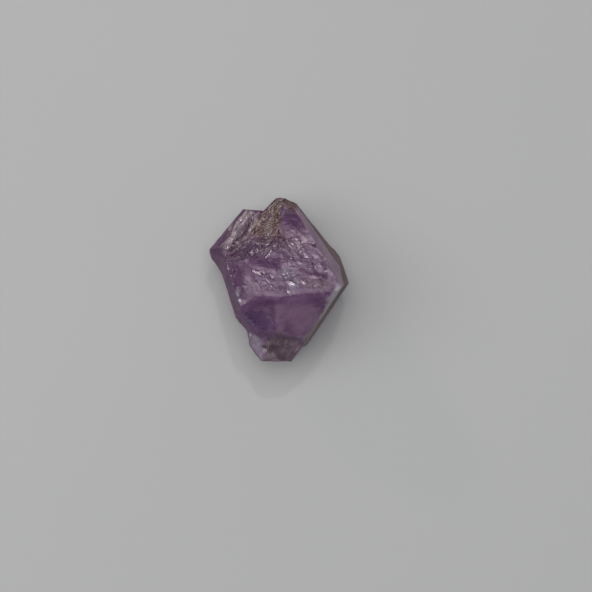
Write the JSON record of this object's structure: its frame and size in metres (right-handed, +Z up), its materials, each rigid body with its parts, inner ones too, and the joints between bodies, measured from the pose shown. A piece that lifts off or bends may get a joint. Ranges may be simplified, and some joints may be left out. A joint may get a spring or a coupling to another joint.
{
  "type": "rough diamond",
  "caption": "Uncut purple diamond crystal with an octahedral habit, etched and stepped, lying on a broken cleavage face.",
  "frame": {"origin": "middle of the crystal's base box, on the surface that it lies on", "axes": "+Y along the crystal's long axis, towards its point; +Z up, away from the cleavage face that it lies on; +X towards its bevelled side"},
  "size_m": [0.007, 0.0082, 0.005],
  "materials": {
    "purple_crystal": "etched, translucent, adamantine lustre"
  },
  "bodies": {
    "root": {"rough_diamond": "purple_crystal"}
  },
  "joints": []
}
